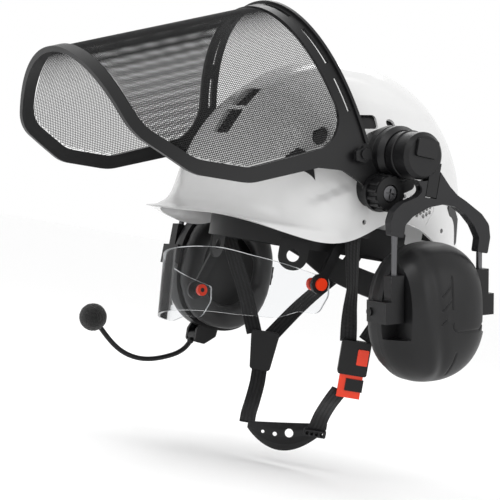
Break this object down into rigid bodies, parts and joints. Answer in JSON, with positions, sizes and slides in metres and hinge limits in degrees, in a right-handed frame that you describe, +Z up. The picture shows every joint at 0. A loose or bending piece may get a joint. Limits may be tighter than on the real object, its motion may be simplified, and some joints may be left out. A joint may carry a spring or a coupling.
{
  "type": "arborist helmet",
  "caption": "Safety helmet with raised wire-mesh visor, clear eye shield, folding ear muffs, boom microphone and buckled chin strap.",
  "frame": {"origin": "on the mid-plane, at the centre of the head, level with the lowest point of the shell's rim", "axes": "+Z up; the wearer looks along -Y; the wearer's left hand is on +X"},
  "size_m": [0.3347, 0.3972, 0.3693],
  "materials": {
    "white_abs": "glossy white ABS",
    "black_plastic": "fine satin grain",
    "charcoal_plastic": "moulded satin",
    "orange_plastic": "smooth",
    "visor_steel_mesh": "black coated woven wire",
    "steel_rod": "blued spring steel",
    "clear_lens": "clear polycarbonate",
    "webbing": "ribbed polyester webbing",
    "cushion": "soft vinyl skin",
    "open_foam": "open-cell foam",
    "grey_plastic": "satin",
    "liner_foam": "expanded bead foam",
    "brow_fabric": "towelling"
  },
  "bodies": {
    "helmet": {"shell": "white_abs", "side_vent_grilles": "white_abs", "front_vent_screens": "charcoal_plastic", "side_vent_backings": "charcoal_plastic", "impact_liner": "liner_foam", "visor_pivots": "black_plastic", "visor_screws": "steel_rod", "muff_brackets": "black_plastic", "shield_guides": "black_plastic", "headband_front": "black_plastic", "brow_pad": "brow_fabric", "head_straps": "webbing", "suspension_clips": "black_plastic", "lamp_clips_front": "charcoal_plastic", "lamp_clips_rear": "charcoal_plastic", "strap_anchors": "black_plastic", "chin_straps_front": "webbing", "chin_straps_rear": "webbing", "strap_slider": "black_plastic", "chin_strap_lower_right": "webbing", "chin_strap_lower_left": "webbing", "chin_cup": "black_plastic", "ladder_slider": "grey_plastic", "chin_buckle_body": "black_plastic"},
    "visor": {"visor_arch": "black_plastic", "visor_edge_trim": "black_plastic", "visor_mesh": "visor_steel_mesh", "visor_catches": "charcoal_plastic"},
    "visor_knob_left": {"visor_knob_left": "black_plastic"},
    "visor_knob_right": {"visor_knob_right": "black_plastic"},
    "shield_arms": {"shield_arms": "charcoal_plastic", "shield_buttons": "orange_plastic", "shield_inner_buttons": "orange_plastic"},
    "eye_shield": {"eye_shield_lens": "clear_lens"},
    "nape_band": {"headband_rear": "black_plastic", "ratchet_housing": "black_plastic"},
    "ratchet_knob": {"ratchet_knob": "black_plastic"},
    "chin_button": {"chin_buckle_button": "orange_plastic"},
    "chin_tongue": {"chin_buckle_tongue": "orange_plastic", "chin_tongue_insert": "black_plastic"},
    "mic": {"mic_boom": "black_plastic", "mic_windscreen": "open_foam"},
    "volume_knob": {"volume_knob": "black_plastic"},
    "muff_arm_left": {"muff_barrel_left": "black_plastic"},
    "release_left": {"muff_release_button_left": "charcoal_plastic"},
    "yoke_left": {"muff_yoke_left": "grey_plastic", "muff_rods_left": "steel_rod"},
    "clips_left": {"cup_clips_left": "black_plastic"},
    "cup_left": {"cup_shell_left": "black_plastic", "cup_frame_left": "black_plastic", "ear_cushion_left": "cushion"},
    "muff_arm_right": {"muff_barrel_right": "black_plastic"},
    "release_right": {"muff_release_button_right": "charcoal_plastic"},
    "yoke_right": {"muff_yoke_right": "grey_plastic", "muff_rods_right": "steel_rod"},
    "clips_right": {"cup_clips_right": "black_plastic"},
    "cup_right": {"cup_shell_right": "black_plastic", "cup_frame_right": "black_plastic", "ear_cushion_right": "cushion", "mic_socket": "black_plastic"}
  },
  "joints": [
    {"name": "visor_tilt", "type": "hinge", "parent": "helmet", "child": "visor", "pos_m": [0, -0.033, 0.0465], "axis": [1, 0, 0], "range_deg": [0, 67]},
    {"name": "visor_knob_left_turn", "type": "hinge", "parent": "helmet", "child": "visor_knob_left", "pos_m": [0.128, -0.033, 0.0465], "axis": [1, 0, 0], "continuous": true},
    {"name": "visor_knob_right_turn", "type": "hinge", "parent": "helmet", "child": "visor_knob_right", "pos_m": [-0.128, -0.033, 0.0465], "axis": [1, 0, 0], "continuous": true},
    {"name": "shield_draw", "type": "slide", "parent": "helmet", "child": "shield_arms", "axis": [0, -0.3584, -0.9336], "range_m": [-0.015, 0.008]},
    {"name": "shield_tilt", "type": "hinge", "parent": "shield_arms", "child": "eye_shield", "pos_m": [0, -0.05466, -0.04414], "axis": [0.9877, 0.0561, 0.1462], "range_deg": [-5, 15]},
    {"name": "headband_fit", "type": "slide", "parent": "helmet", "child": "nape_band", "axis": [0, 1, 0], "range_m": [-0.006, 0.01]},
    {"name": "ratchet_turn", "type": "hinge", "parent": "nape_band", "child": "ratchet_knob", "pos_m": [0, 0.105, -0.036], "axis": [0, 1, 0], "range_deg": [-35, 58]},
    {"name": "chin_button_press", "type": "slide", "parent": "helmet", "child": "chin_button", "axis": [-0.8447, 0.5267, 0.0949], "range_m": [0, 0.0015]},
    {"name": "chin_tongue_pull", "type": "slide", "parent": "helmet", "child": "chin_tongue", "axis": [-0.0805, 0.0502, -0.9955], "range_m": [0, 0.012]},
    {"name": "muff_swing_left", "type": "hinge", "parent": "helmet", "child": "muff_arm_left", "pos_m": [0.141, -0.02, 0.079], "axis": [1, 0, 0], "range_deg": [0, 90]},
    {"name": "release_press_left", "type": "slide", "parent": "muff_arm_left", "child": "release_left", "axis": [-1, 0, 0], "range_m": [0, 0.002]},
    {"name": "muff_clamp_left", "type": "hinge", "parent": "muff_arm_left", "child": "yoke_left", "pos_m": [0.15, -0.007, 0.054], "axis": [0, 1, 0], "range_deg": [-3, 4]},
    {"name": "cup_height_left", "type": "slide", "parent": "yoke_left", "child": "clips_left", "axis": [0, -0.1994, 0.9799], "range_m": [-0.012, 0.01]},
    {"name": "cup_tilt_left", "type": "hinge", "parent": "clips_left", "child": "cup_left", "pos_m": [0.1345, 0.0202, -0.03558], "axis": [0, 0.9799, 0.1994], "range_deg": [-4, 4]},
    {"name": "muff_swing_right", "type": "hinge", "parent": "helmet", "child": "muff_arm_right", "pos_m": [-0.141, -0.02, 0.079], "axis": [1, 0, 0], "range_deg": [0, 100]},
    {"name": "release_press_right", "type": "slide", "parent": "muff_arm_right", "child": "release_right", "axis": [1, 0, 0], "range_m": [0, 0.002]},
    {"name": "muff_clamp_right", "type": "hinge", "parent": "muff_arm_right", "child": "yoke_right", "pos_m": [-0.15, -0.01391, 0.05149], "axis": [0, 0.9659, -0.2588], "range_deg": [0, 7]},
    {"name": "cup_height_right", "type": "slide", "parent": "yoke_right", "child": "clips_right", "axis": [-0.0684, 0.0604, 0.9958], "range_m": [-0.02, 0.001]},
    {"name": "cup_tilt_right", "type": "hinge", "parent": "clips_right", "child": "cup_right", "pos_m": [-0.1289, -0.00994, -0.03186], "axis": [-0.0139, 0.998, -0.0615], "range_deg": [-4, 4]},
    {"name": "mic_boom_tilt", "type": "hinge", "parent": "cup_right", "child": "mic", "pos_m": [-0.129, -0.026, -0.099], "axis": [1, 0, 0], "range_deg": [-30, 20]},
    {"name": "volume_turn", "type": "hinge", "parent": "cup_right", "child": "volume_knob", "pos_m": [-0.15022, -0.04641, -0.07007], "axis": [-0.4596, -0.7845, -0.4163], "continuous": true}
  ],
  "couplings": [
    {"joint": "ratchet_turn", "follows": "headband_fit", "rad_per_m": 100}
  ]
}
